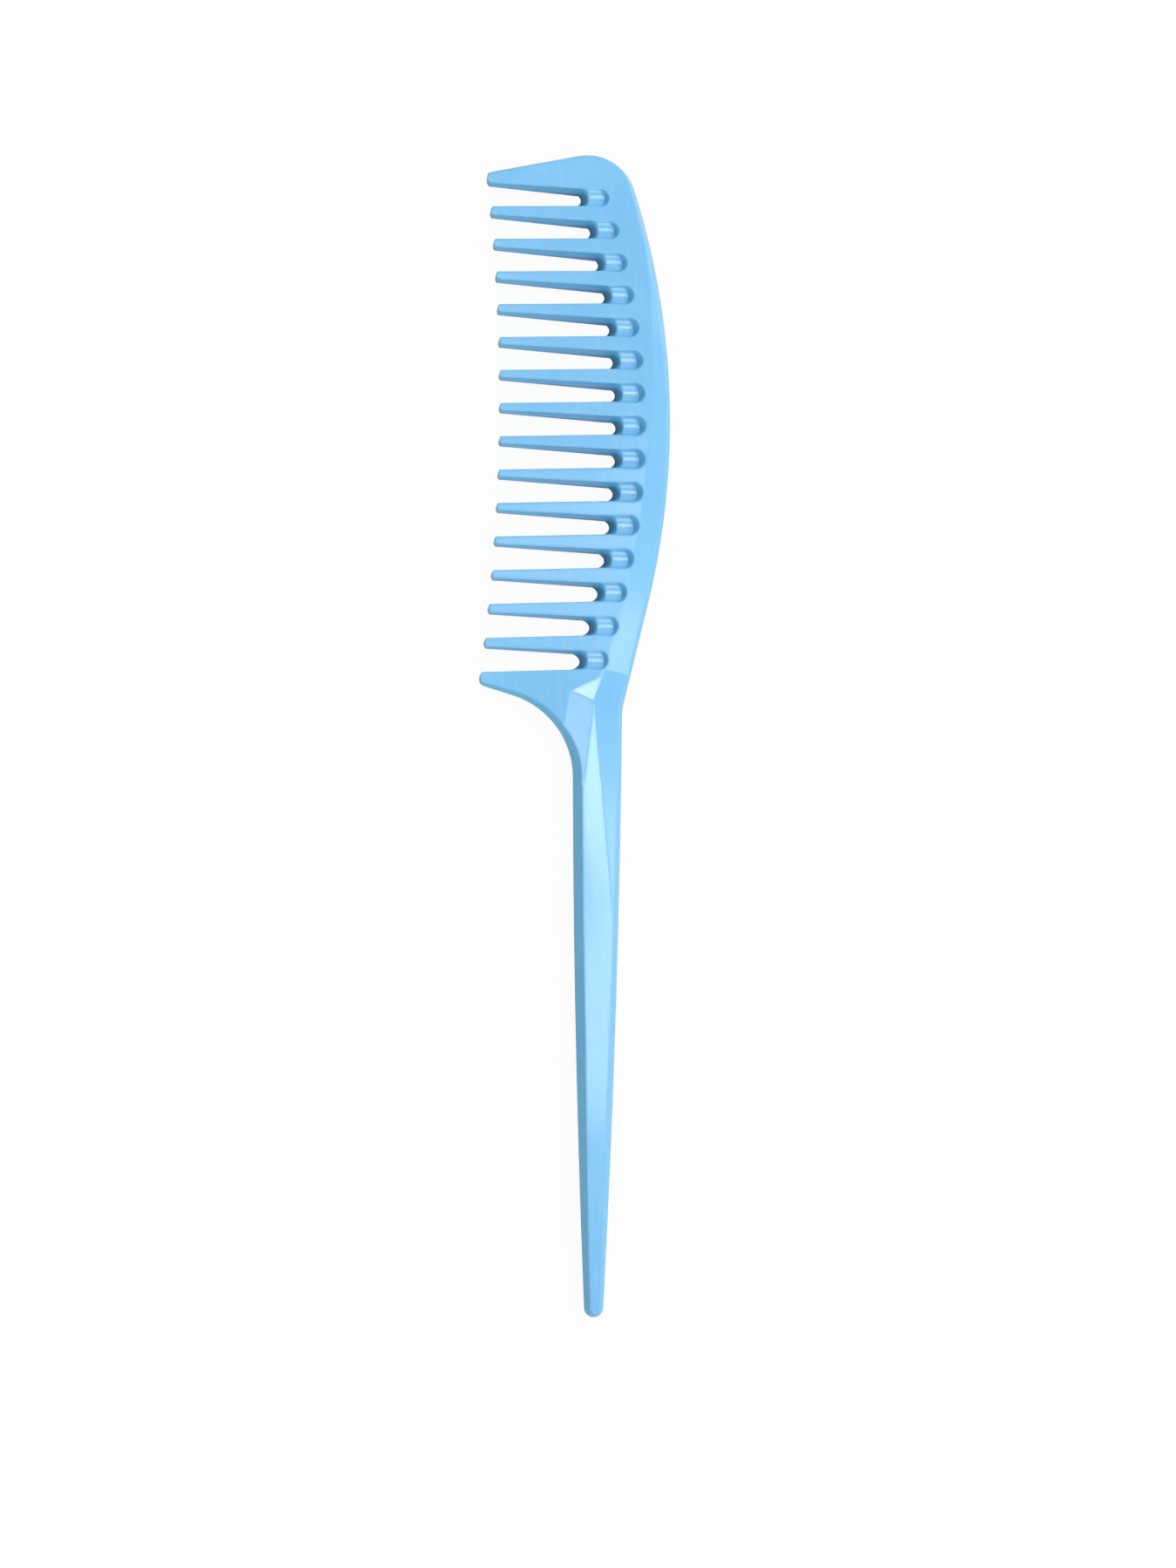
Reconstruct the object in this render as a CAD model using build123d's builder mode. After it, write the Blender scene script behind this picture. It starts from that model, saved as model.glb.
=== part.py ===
from build123d import *

import math
import os

# Wide-tooth tail comb, moulded in one colour: a crescent spine carrying sixteen teeth, and a long
# tapering tail. It lies on its back face: Z up, Y along the tail towards the head, teeth towards -X.
# Both faces are the same, mirrored about the parting plane at half the thickness.

# overall
LENGTH = 220.0
WIDTH = 36.0
HALF_THICK = 2.5  # parting plane to the crest and to the flat land of the tail

# spine: the distances called DOWN run from the head's top, those called IN from the back of the comb
SPINE_R = 155.0
SPINE_DOWN = 53.0  # widest place
SPINE_END_DOWN = 89.0  # the back runs straight from here to the neck
EDGE_DRAFT = 28.0
TOP_SLOPE = 15.2
TOP_EDGE_DOWN = 0.28  # top edge, produced to X = 0
TOP_CORNER_R = 9.0
CREST_IN = 3.9
CREST_DOWN = 43.0
RIM_SLOPE = 11.5

# teeth and the gaps between them
TEETH = 16
PITCH = 6.5
MIDDLE_GAP_DOWN = 55.1
LEAN = 1.2  # teeth droop towards the tail, degrees
GAP_IN = 10.8  # bottom of the deepest gap
GAP_ARC_DOWN = 55.7  # apex of the arc that the gap bottoms lie on
GAP_HALF_W = 1.66  # half width of a gap at its root
GAP_OPENING = 2.3  # each flank turns away from the gap's middle line, degrees
TOOTH_DRAFT = 7.0
TIP_HALF = 0.8  # half thickness at the tips
TIP_SAG = 3.0  # the end teeth reach this much further than the middle ones
GUARD_TIP_R = 1.6
GUARD_SLOPE = 15.9
GUARD_EDGE_DOWN = 110.75  # lower edge of the last tooth, produced to X = 0
ROOT_STEP = 0.3  # a tooth starts this far outside the roots of its gaps

# web across the bottom of every gap, and the scalloped pocket that runs over it into the spine
WEB_HALF = 1.05
NOSE_ANGLE = 51.0
POCKET_R = 2.2
POCKET_RUN = 3.6  # straight part, from the gap bottom
POCKET_END_DRAFT = 35.0

# tail: the distances called UP run from its end
TAIL_IN = 13.75
GUARD_SWEEP_R = 15.7
NECK_SWEEP_R = 12.0
NECK_DOWN = 124.0
NECK_HALF_W = 4.65
MIDDLE_HALF_W = 3.6
MIDDLE_UP = 49.0
END_HALF_W = 1.75
END_ROUND = 1.8
END_HALF_THICK = 1.5
THIN_UP = 50.0

# facets that rise to one peak at the neck: heading of each facet's top line and its fall, degrees
PEAK_IN = 14.8
PEAK_DOWN = 108.4
NECK_FACETS = ((95.5, 11.7), (263.5, 10.0), (221.0, 10.5))


def tan(degrees):
    return math.tan(math.radians(degrees))


def cos(degrees):
    return math.cos(math.radians(degrees))


def sin(degrees):
    return math.sin(math.radians(degrees))


TOP = LENGTH / 2
BOTTOM = -LENGTH / 2
LEFT = -WIDTH / 2
RIGHT = WIDTH / 2
MARGIN = 1.0
CREST_X = RIGHT - CREST_IN
GAP_BOTTOM_X = RIGHT - GAP_IN
NOSE_RUN = GAP_HALF_W / cos(NOSE_ANGLE)  # from a gap's root to its bottom, on the parting plane
TAIL_X = RIGHT - TAIL_IN
SPINE_Y = TOP - SPINE_DOWN
NECK_Y = TOP - NECK_DOWN
THIN_Y = BOTTOM + THIN_UP
mid = Plane.XY.offset(HALF_THICK)


def arc_x(y, apex_x, apex_y, radius):
    """X of a circle whose furthest point in +X is (apex_x, apex_y)."""
    return apex_x - radius + math.sqrt(radius**2 - (y - apex_y) ** 2)


def gap_y(n, x):
    """Centre line of gap n, counted from the top of the head, at a given X."""
    return TOP - MIDDLE_GAP_DOWN + (TEETH / 2 - n) * PITCH + x * tan(LEAN)


def gap_root_x(n):
    """Where the flanks of gap n end and the scooped nose of its web begins."""
    bottom = arc_x(gap_y(n, GAP_BOTTOM_X), GAP_BOTTOM_X, TOP - GAP_ARC_DOWN, SPINE_R)
    return bottom - NOSE_RUN


def tooth_y(n, x):
    return gap_y(n - 0.5, x)


def tooth_root_x(n):
    """Plane on which tooth n joins the spine: outside the roots of both its gaps."""
    beside = [g for g in (n - 1, n) if 0 < g < TEETH]
    return min(gap_root_x(g) for g in beside) - ROOT_STEP


def tip_reach(n):
    """Tips lie on an arc through the two end teeth."""
    reach = (TEETH - 1) / 2 * PITCH
    offset = (n - (TEETH + 1) / 2) * PITCH
    return LEFT + TIP_SAG * (1 - (offset / reach) ** 2)


def tip_r(n):
    """A tip is as round as its tooth is wide just behind it, and the end teeth are blunter."""
    if n in (1, TEETH):
        return GUARD_TIP_R
    open_run = min(gap_root_x(n - 1), gap_root_x(n)) - tip_reach(n)
    half_w = PITCH / 2 - GAP_HALF_W - open_run * tan(GAP_OPENING)
    return half_w / (1 - 2 * tan(GAP_OPENING))


def top_edge(x):
    return TOP - TOP_EDGE_DOWN + x * tan(TOP_SLOPE)


def guard_edge(x):
    return TOP - GUARD_EDGE_DOWN - x * tan(GUARD_SLOPE)


def tip_centre(n):
    """Middle of a tooth's rounded tip; the end teeth also touch the comb's outer edge."""
    x = tip_reach(n) + tip_r(n)
    if n == 1:
        return x, top_edge(x) - GUARD_TIP_R / cos(TOP_SLOPE)
    if n == TEETH:
        return x, guard_edge(x) + GUARD_TIP_R / cos(GUARD_SLOPE)
    return x, tooth_y(n, x)


def facet(heading, fall):
    """Plane through the neck's peak, falling away to the right of its heading."""
    normal = Vector(0, 0, 1).rotate(Axis((0, 0, 0), (cos(heading), sin(heading), 0)), fall)
    return Plane(origin=(RIGHT - PEAK_IN, TOP - PEAK_DOWN, 2 * HALF_THICK), z_dir=normal)


# --- top surface of the head: rises from the tips to the crest, and the rim falls away behind it
with BuildPart() as head_roof:
    rise = (HALF_THICK - TIP_HALF) / (CREST_X - LEFT)
    with BuildSketch(Plane.XZ.offset(BOTTOM)):
        with BuildLine():
            Polyline(
                (LEFT - MARGIN, HALF_THICK),
                (RIGHT + MARGIN, HALF_THICK),
                (RIGHT + MARGIN, 2 * HALF_THICK + (RIGHT + MARGIN - CREST_X) * rise),
                (LEFT - MARGIN, HALF_THICK + TIP_HALF - MARGIN * rise),
                close=True,
            )
        make_face()
    extrude(amount=LENGTH)
    with Locations((CREST_X - SPINE_R, TOP - CREST_DOWN, HALF_THICK)):
        rim_run = HALF_THICK / tan(RIM_SLOPE)
        Cone(
            SPINE_R + rim_run,
            SPINE_R - rim_run,
            2 * HALF_THICK,
            align=(Align.CENTER, Align.CENTER, Align.MIN),
            mode=Mode.INTERSECT,
        )

# --- top surface of the tail: flat land, facets round the peak, thinning towards the end
with BuildPart() as tail_roof:
    with Locations((0, BOTTOM, HALF_THICK)):
        Box(
            WIDTH + 2 * MARGIN,
            LENGTH - PEAK_DOWN + PITCH,
            HALF_THICK,
            align=(Align.CENTER, Align.MIN, Align.MIN),
        )
    for heading, fall in NECK_FACETS:
        split(bisect_by=facet(heading, fall), keep=Keep.BOTTOM)
    thinning = math.atan2(HALF_THICK - END_HALF_THICK, THIN_UP)
    thin_plane = Plane(origin=(0, THIN_Y, 2 * HALF_THICK))
    split(bisect_by=thin_plane.rotated((math.degrees(thinning), 0, 0)), keep=Keep.BOTTOM)

# --- cutter for one gap, upper half, in the gap's own axes: X = 0 at its root and +X into the spine.
#     The pocket has a round floor and a sloping half-round end; the flanks are drafted and open
#     towards the tips, and a scooped nose joins them across the web.
with BuildPart() as gap_tool:
    pocket_end_x = NOSE_RUN + POCKET_RUN
    with Locations(Location((0, 0, WEB_HALF + POCKET_R), (0, 90, 0))):
        Cylinder(
            POCKET_R,
            pocket_end_x + 2 * POCKET_R,
            align=(Align.CENTER, Align.CENTER, Align.MIN),
        )
    with BuildPart(Location((pocket_end_x, 0, WEB_HALF)), mode=Mode.INTERSECT):
        Box(
            pocket_end_x,
            4 * POCKET_R,
            POCKET_R,
            align=(Align.MAX, Align.CENTER, Align.MIN),
        )
        Cone(
            POCKET_R / cos(POCKET_END_DRAFT) - POCKET_R * tan(POCKET_END_DRAFT),
            POCKET_R / cos(POCKET_END_DRAFT),
            POCKET_R,
            align=(Align.CENTER, Align.CENTER, Align.MIN),
        )
    with BuildPart():
        Box(2 * WIDTH, 2 * WIDTH, HALF_THICK, align=(Align.CENTER, Align.CENTER, Align.MIN))
        for side in (-1, 1):
            outward = (tan(GAP_OPENING), side, -tan(TOOTH_DRAFT))
            split(bisect_by=Plane(origin=(0, side * GAP_HALF_W, 0), z_dir=outward), keep=Keep.BOTTOM)
        split(bisect_by=Plane(origin=(0, 0, 0), z_dir=(-cos(NOSE_ANGLE), 0, sin(NOSE_ANGLE))))
    with Locations(Location((0, 0, 0), (0, NOSE_ANGLE, 0))):
        nose_run = 2 * HALF_THICK
        flare = nose_run * (cos(NOSE_ANGLE) * tan(TOOTH_DRAFT) - sin(NOSE_ANGLE) * tan(GAP_OPENING))
        Cone(GAP_HALF_W - flare, GAP_HALF_W + flare, 2 * nose_run)

# --- the whole comb, upper half first, then mirrored about the parting plane
with BuildPart() as comb:
    with BuildSketch(mid) as outline:
        outside = LEFT - MARGIN
        spine_end_y = TOP - SPINE_END_DOWN
        spine_end = (arc_x(spine_end_y, RIGHT, SPINE_Y, SPINE_R), spine_end_y)
        spine_run = (spine_end[0] - RIGHT + SPINE_R) / (SPINE_Y - spine_end_y)
        neck_right_x = TAIL_X + NECK_HALF_W
        neck_right = (neck_right_x, spine_end_y - (spine_end[0] - neck_right_x) * spine_run)
        neck_left = (TAIL_X - NECK_HALF_W, guard_edge(TAIL_X - NECK_HALF_W))
        tail_left = (TAIL_X - END_HALF_W, BOTTOM + END_ROUND)
        tail_right = (TAIL_X + END_HALF_W, BOTTOM + END_ROUND)
        with BuildLine():
            back = CenterArc((RIGHT - SPINE_R, SPINE_Y), SPINE_R, 0, 90, mode=Mode.PRIVATE)
            top_ray = Line((outside, top_edge(outside)), (SPINE_R, top_edge(SPINE_R)), mode=Mode.PRIVATE)
            corner = top_ray.find_intersection_points(back)[0]
            Polyline(corner, top_ray @ 0, (outside, guard_edge(outside)), neck_left)
            ThreePointArc(neck_left, (TAIL_X - MIDDLE_HALF_W, BOTTOM + MIDDLE_UP), tail_left)
            ThreePointArc(tail_left, (TAIL_X, BOTTOM), tail_right)
            ThreePointArc(tail_right, (TAIL_X + MIDDLE_HALF_W, BOTTOM + MIDDLE_UP), neck_right)
            Line(neck_right, spine_end)
            ThreePointArc(spine_end, (RIGHT, SPINE_Y), corner)
        make_face()
        rounds = ((corner, TOP_CORNER_R), (neck_left, GUARD_SWEEP_R), (neck_right, NECK_SWEEP_R))
        for point, radius in rounds:
            fillet(outline.vertices().sort_by_distance(mid.from_local_coords(point))[0], radius)
    extrude(amount=HALF_THICK, taper=EDGE_DRAFT)
    add(head_roof.part + tail_roof.part, mode=Mode.INTERSECT)
    for n in range(1, TEETH):
        root_x = gap_root_x(n)
        with Locations(Location((root_x, gap_y(n, root_x), HALF_THICK), (0, 0, LEAN))):
            add(gap_tool.part, mode=Mode.SUBTRACT)
    mirror(about=mid)

pieces = []
tooth_zones = []

# --- sixteen teeth: tapered, their flanks drafted to both faces, with rounded tips
for n in range(1, TEETH + 1):
    with BuildPart() as zone:
        low = BOTTOM if n == TEETH else gap_y(n, 0)
        high = TOP if n == 1 else gap_y(n - 1, 0)
        with Locations((tooth_root_x(n), low, 0)):
            Box(
                tooth_root_x(n) - LEFT + MARGIN,
                high - low,
                2 * HALF_THICK,
                align=(Align.MAX, Align.MIN, Align.MIN),
            )
    tooth_zones.append(zone.part)

    with BuildPart() as tooth:
        tip_x, tip_y = tip_centre(n)
        with Locations((tip_x, tip_y, HALF_THICK)):
            Cylinder(tip_r(n), 2 * HALF_THICK)
            Box(
                tooth_root_x(n) - tip_x,
                LENGTH,
                2 * HALF_THICK,
                align=(Align.MIN, Align.CENTER, Align.CENTER),
            )
        add(comb.part, mode=Mode.INTERSECT)
        add(zone.part, mode=Mode.INTERSECT)
    tooth.part.label = f"tooth_{n:02d}"
    pieces.append(tooth.part)

# --- spine: crescent back with the webs and pockets, and the neck down to the tail
with BuildPart() as spine:
    add(comb.part)
    add(tooth_zones, mode=Mode.SUBTRACT)
    split(bisect_by=Plane.XZ.offset(-NECK_Y), keep=Keep.BOTTOM)
spine.part.label = "spine"
pieces.append(spine.part)

# --- tail handle
with BuildPart() as tail_handle:
    add(comb.part)
    split(bisect_by=Plane.XZ.offset(-NECK_Y), keep=Keep.TOP)
tail_handle.part.label = "tail_handle"
pieces.append(tail_handle.part)

os.makedirs("parts", exist_ok=True)
for piece in pieces:
    export_step(piece, f"parts/{piece.label}.step")
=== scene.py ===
import math

import bpy
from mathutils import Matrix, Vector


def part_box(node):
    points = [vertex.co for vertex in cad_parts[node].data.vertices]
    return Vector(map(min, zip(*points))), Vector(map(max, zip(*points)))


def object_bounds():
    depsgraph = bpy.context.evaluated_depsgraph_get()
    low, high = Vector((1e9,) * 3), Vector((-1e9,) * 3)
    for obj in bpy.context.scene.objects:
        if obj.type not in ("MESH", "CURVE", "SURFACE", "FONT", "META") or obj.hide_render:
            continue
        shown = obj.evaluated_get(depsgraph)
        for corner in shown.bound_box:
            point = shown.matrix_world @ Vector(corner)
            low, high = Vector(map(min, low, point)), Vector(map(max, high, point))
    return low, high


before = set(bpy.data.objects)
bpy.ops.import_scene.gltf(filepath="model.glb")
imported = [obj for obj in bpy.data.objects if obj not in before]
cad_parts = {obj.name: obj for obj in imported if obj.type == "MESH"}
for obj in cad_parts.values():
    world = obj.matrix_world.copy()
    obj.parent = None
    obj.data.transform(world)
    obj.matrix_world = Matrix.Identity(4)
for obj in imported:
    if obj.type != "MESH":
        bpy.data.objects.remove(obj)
cad_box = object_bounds()

# --- Tail handle -----------------------------------------------------------------------------
# The tail lifts and parts the hair. It is the lower half of the comb, which is one shot of glossy
# light blue plastic from a polished mould, so it runs into the spine at the neck without a seam.

EDGE_SOFTNESS = 0.0007  # radius of the moulded edges, in metres as all lengths here
CUT_MARGIN = 0.0003  # no softening this near to a cut between the CAD nodes
PARTING_Z = (cad_box[0][2] + cad_box[1][2]) / 2
GAP_END_HEIGHTS = (0.0007, 0.0014)  # off the parting plane, where a gap end's painted shade fades
CORNER_REACH = 0.003  # how far a nearby surface reaches to paint shade into a corner

CLOUDS_PER_METRE = 45.0
STREAKS_PER_METRE = 900.0
SPECKS_PER_METRE = 4200.0
FLOW = (1.0, 0.12, 1.0)  # draws the streaks out along the comb
RELIEF = 0.0002  # full height of the streaks and specks
POLISH = 0.07  # roughness where the mould was cleanest
PLASTIC_IOR = 1.5

PLAIN_BLUE = (0.205, 0.545, 0.9, 1)
CLOUD_BLUE = (0.23, 0.58, 0.92, 1)
STREAK_BLUE = (0.3, 0.63, 0.96, 1)
# Painted shade on steep walls:
WALL_SHADE_BLUE = (0.12, 0.54, 0.85, 1)
RUBBED_BLUE = (0.38, 0.7, 0.97, 1)
# Painted shade in occluded corners:
CORNER_SHADE_BLUE = (0.05, 0.33, 0.62, 1)
# Painted shade, nearly black, at the sloping ends of the gaps:
GAP_END_SHADE_BLUE = (0.002, 0.04, 0.1, 1)


class Value:
    """What a shader socket gives; Python's operators on it add Math nodes."""

    def __init__(self, shader, socket):
        self.shader = shader
        self.socket = socket

    def math(self, operation, *others):
        return self.shader.node("ShaderNodeMath", {"operation": operation}, self, *others)

    def __add__(self, other):
        return self.math("ADD", other)

    def __sub__(self, other):
        return self.math("SUBTRACT", other)

    def __rsub__(self, other):
        return self.shader.node("ShaderNodeMath", {"operation": "SUBTRACT"}, other, self)

    def __mul__(self, other):
        return self.math("MULTIPLY", other)

    def __truediv__(self, other):
        return self.math("DIVIDE", other)

    def __abs__(self):
        return self.math("ABSOLUTE")

    __radd__ = __add__
    __rmul__ = __mul__

    def within(self, low, high):
        """0 at low and 1 at high, clamped, with a soft start and end."""
        soft = {"interpolation_type": "SMOOTHSTEP"}
        return self.shader.node("ShaderNodeMapRange", soft, self, From_Min=low, From_Max=high)


class Shader:
    """The emptied node tree of a material or world, where one method makes every node."""

    def __init__(self, owner):
        owner.use_nodes = True
        self.tree = owner.node_tree
        self.tree.nodes.clear()

    def node(self, kind, settings=None, *inputs, out=None, **named):
        """Sets the node first, then its sockets in order or by name; out names its output."""
        made = self.tree.nodes.new(kind)
        for key, setting in (settings or {}).items():
            setattr(made, key, setting)
        sockets = [socket for socket in made.inputs if socket.enabled]
        by_name = {socket.name.replace(" ", "_"): socket for socket in reversed(sockets)}
        filled = [*zip(sockets, inputs), *((by_name[key], named[key]) for key in named)]
        for socket, value in filled:
            if isinstance(value, Value):
                self.tree.links.new(value.socket, socket)
            else:
                socket.default_value = value
        outputs = [socket for socket in made.outputs if socket.enabled]
        chosen = [socket for socket in outputs if out in (None, socket.name)]
        return Value(self, chosen[0]) if chosen else None

    def mix(self, factor, first, second):
        return self.node("ShaderNodeMix", {"data_type": "RGBA"}, factor, first, second)


def moulded_plastic(name, cut_distance):
    """Plastic for one piece; cut_distance(x, y) is how far a point lies from the piece's cuts."""
    plastic = bpy.data.materials.new(name)
    shader = Shader(plastic)
    place = shader.node("ShaderNodeTexCoord", out="Object")
    x, y, z = (shader.node("ShaderNodeSeparateXYZ", {}, place, out=axis) for axis in "XYZ")

    # The mould rounds every edge a little, which the shading follows, and hands rub it paler.
    flat = shader.node("ShaderNodeNewGeometry", out="Normal")
    soft = shader.node("ShaderNodeBevel", {"samples": 6}, Radius=EDGE_SOFTNESS)
    off_cut = cut_distance(x, y).within(CUT_MARGIN, 2 * CUT_MARGIN)
    rounded = shader.node("ShaderNodeMix", {"data_type": "VECTOR"}, off_cut, flat, soft)
    turn = shader.node(
        "ShaderNodeVectorMath", {"operation": "DOT_PRODUCT"}, flat, rounded, out="Value"
    )
    edge = (1 - turn).within(0.0, 0.12)

    # The melt leaves wide clouds, streaks along the flow and fine specks.
    cloud = shader.node("ShaderNodeTexNoise", {}, place, Scale=CLOUDS_PER_METRE, Detail=3.0)
    flow = shader.node("ShaderNodeVectorMath", {"operation": "MULTIPLY"}, place, FLOW)
    streak = shader.node(
        "ShaderNodeTexNoise", {}, flow, Scale=STREAKS_PER_METRE, Detail=4.0, Roughness=0.6
    )
    speck = shader.node("ShaderNodeTexNoise", {}, place, Scale=SPECKS_PER_METRE, Detail=2.0)

    # Painted shade: walls get a deeper blue, deeper yet in occluded corners, and the sloping end
    # of a gap, which faces the tips close to the parting plane, is painted nearly dark.
    facing_x, facing_z = (
        shader.node("ShaderNodeSeparateXYZ", {}, flat, out=axis) for axis in "XZ"
    )
    wall = 1 - abs(facing_z).within(0.5, 0.95)
    at_parting = 1 - abs(z - PARTING_Z).within(*GAP_END_HEIGHTS)
    gap_end_shade = (0 - facing_x).within(0.1, 0.5) * at_parting
    open_sky = shader.node(
        "ShaderNodeAmbientOcclusion", {"samples": 6}, Distance=CORNER_REACH, out="AO"
    )
    corner_shade = (1 - open_sky).within(0.02, 0.25)

    blue = shader.mix(cloud.within(0.35, 0.65), PLAIN_BLUE, CLOUD_BLUE)
    blue = shader.mix(streak.within(0.45, 0.75) * 0.25, blue, STREAK_BLUE)
    # The wall, corner and gap end blues mixed in here are painted shade; the rubbed blue is wear.
    blue = shader.mix(wall * 0.6, blue, WALL_SHADE_BLUE)
    blue = shader.mix(edge * 0.35, blue, RUBBED_BLUE)
    blue = shader.mix(corner_shade * wall * 0.5, blue, CORNER_SHADE_BLUE)
    blue = shader.mix(corner_shade * gap_end_shade * 0.97, blue, GAP_END_SHADE_BLUE)

    relief = streak * 0.5 + speck * 0.15
    uneven = shader.node(
        "ShaderNodeBump", {}, Strength=0.06, Distance=RELIEF, Height=relief, Normal=rounded
    )
    surface = shader.node(
        "ShaderNodeBsdfPrincipled",
        {},
        Base_Color=blue,
        Roughness=POLISH + streak * 0.05 + cloud * 0.03 + edge * 0.05,
        IOR=PLASTIC_IOR,
        Normal=uneven,
    )
    shader.node("ShaderNodeOutputMaterial", {}, surface)
    return plastic


def dress(piece, plastic):
    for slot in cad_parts[piece].material_slots:
        slot.material = plastic


neck_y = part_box("tail_handle")[1].y
dress("tail_handle", moulded_plastic("tail_plastic", lambda x, y: abs(y - neck_y)))

# --- Teeth -----------------------------------------------------------------------------------
# Sixteen tapered teeth stand on the spine, moulded with it, each with its flanks drafted both ways
# from the parting plane so that it leaves the mould; the two end ones are wide guards.

TEETH = 16
for number in range(1, TEETH + 1):
    tooth = f"tooth_{number:02d}"
    root_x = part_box(tooth)[1].x
    dress(tooth, moulded_plastic(f"{tooth}_plastic", lambda x, y: abs(x - root_x)))

# --- Spine -----------------------------------------------------------------------------------
# The crescent back of the same moulding carries the teeth, with a web across the bottom of each
# gap and a scalloped pocket behind it that saves plastic and lets the hair run out of the gap.

PITCH = 0.0065
ROOT_ARC = 0.155
ROOT_APEX = (0.00426, 0.0543)
OUTERMOST_GAP = TEETH / 2 - 1
middle_y = (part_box("tooth_08")[0].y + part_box("tooth_09")[1].y) / 2


def spine_cut_distance(x, y):
    """Distance to the root planes of the teeth, which step back along an arc, or to the neck."""
    sideways = y - middle_y
    gaps_away = (abs(sideways) / PITCH).math("CEIL").math("MINIMUM", OUTERMOST_GAP)
    gap_y = sideways.math("SIGN") * gaps_away * PITCH + (middle_y - ROOT_APEX[1])
    root_x = (ROOT_ARC**2 - gap_y * gap_y).math("SQRT") + (ROOT_APEX[0] - ROOT_ARC)
    return abs(x - root_x).math("MINIMUM", abs(y - neck_y))


dress("spine", moulded_plastic("spine_plastic", spine_cut_distance))

# --- Table and backdrop ----------------------------------------------------------------------
# The comb lies flat on a plain white paper sheet that reaches far past the picture. The camera
# sees the lit paper through plain white, which keeps the sheet white and its shadow faint.

TABLE_HALF = 3.0
GRAINS_PER_METRE = 400.0
DULL_WHITE = (0.72, 0.72, 0.72, 1)
PAPER_WHITE = (0.75, 0.75, 0.75, 1)
PURE_WHITE = (1, 1, 1, 1)
ROOM_LIGHT = 0.37

sheet = bpy.data.meshes.new("table_sheet")
corners = [(-1, -1), (1, -1), (1, 1), (-1, 1)]
sheet.from_pydata([(TABLE_HALF * u, TABLE_HALF * v, 0.0) for u, v in corners], [], [(0, 1, 2, 3)])
table = bpy.data.objects.new("table_sheet", sheet)
bpy.context.scene.collection.objects.link(table)

white_paper = bpy.data.materials.new("white_paper")
paper = Shader(white_paper)
place = paper.node("ShaderNodeTexCoord", out="Object")
grain = paper.node("ShaderNodeTexNoise", {}, place, Scale=GRAINS_PER_METRE)
lit = paper.node("ShaderNodeBsdfDiffuse", {}, paper.mix(grain, DULL_WHITE, PAPER_WHITE))
glow = paper.node("ShaderNodeEmission", {}, PURE_WHITE, 1.0)
seen = paper.node("ShaderNodeLightPath", out="Is Camera Ray")
mirrored = paper.node("ShaderNodeLightPath", out="Is Glossy Ray")
face = paper.node("ShaderNodeMixShader", {}, seen * 0.95 + mirrored * 0.15, lit, glow)
paper.node("ShaderNodeOutputMaterial", {}, face)
sheet.materials.append(white_paper)

studio_air = bpy.data.worlds.new("studio_air")
bpy.context.scene.world = studio_air
air = Shader(studio_air)
seen = air.node("ShaderNodeLightPath", out="Is Camera Ray")
walls = air.node("ShaderNodeBackground", {}, PURE_WHITE, ROOM_LIGHT + seen * (1 - ROOM_LIGHT))
air.node("ShaderNodeOutputWorld", {}, walls)

# --- Studio lights ---------------------------------------------------------------------------
# White walls light the comb evenly, a soft box behind the spine and one before the tail shape it,
# and small boxes overhead each show as a pale gleam in one facet, which turns them to the lens.

BIG_BOX = (0.8, 0.8)
BIG_BOX_AWAY = 1.8
SMALL_BOX_AWAY = 0.9


def soft_box(name, direction, distance, size, power):
    """A box that faces the middle of the comb; overhead, its size is along Y, then along X."""
    light = bpy.data.lights.new(name, "AREA")
    light.shape = "RECTANGLE"
    light.size, light.size_y = size
    light.energy = power
    holder = bpy.data.objects.new(name, light)
    bpy.context.scene.collection.objects.link(holder)
    length = math.hypot(*direction)
    holder.location = [distance * part / length for part in direction]
    holder.rotation_mode = "QUATERNION"
    holder.rotation_quaternion = holder.location.to_track_quat("Z", "Y")


soft_box("main_box", (0.6, 0.57, 0.56), BIG_BOX_AWAY, BIG_BOX, 8.0)
soft_box("fill_box", (0.25, -0.75, 0.6), BIG_BOX_AWAY, BIG_BOX, 9.0)
soft_box("neck_box", (-0.13, 0.47, 0.873), SMALL_BOX_AWAY, (0.13, 0.12), 0.64)
soft_box("left_box", (-0.22, 0.2, 0.955), SMALL_BOX_AWAY, (0.2, 0.2), 0.45)
soft_box("web_box", (0.165, 0.29, 0.943), SMALL_BOX_AWAY, (0.2, 0.07), 0.11)
soft_box("face_box", (0.035, 0.285, 0.958), SMALL_BOX_AWAY, (0.16, 0.11), 0.09)
soft_box("land_box", (0.19, 0.11, 0.975), SMALL_BOX_AWAY, (0.2, 0.1), 0.57)
soft_box("tail_box", (0.17, -0.07, 0.983), SMALL_BOX_AWAY, (0.15, 0.1), 0.26)
soft_box("right_box", (0.53, 0.05, 0.845), SMALL_BOX_AWAY, (0.17, 0.17), 0.33)
soft_box("edge_box", (0.78, 0.12, 0.6), SMALL_BOX_AWAY, (0.5, 0.08), 1.3)

# --- Camera ----------------------------------------------------------------------------------
# The photograph was taken from just above the tail, a little to the teeth's side, with the head
# further from the lens: its place and turn come from the even pitch of the gaps.

CAMERA_PLACE = (-0.05077, -0.06292, 0.35121)
CAMERA_TURN = (7.89, -8.75, 0.412)  # degrees

camera = bpy.data.objects.new("camera", bpy.data.cameras.new("camera"))
bpy.context.scene.collection.objects.link(camera)
bpy.context.scene.camera = camera
camera.data.sensor_fit = "VERTICAL"
camera.data.sensor_height = 24.0
camera.data.lens = 29.33
camera.data.clip_start = 0.01
camera.location = CAMERA_PLACE
camera.rotation_euler = [math.radians(turn) for turn in CAMERA_TURN]

bpy.context.scene.view_settings.view_transform = "Standard"
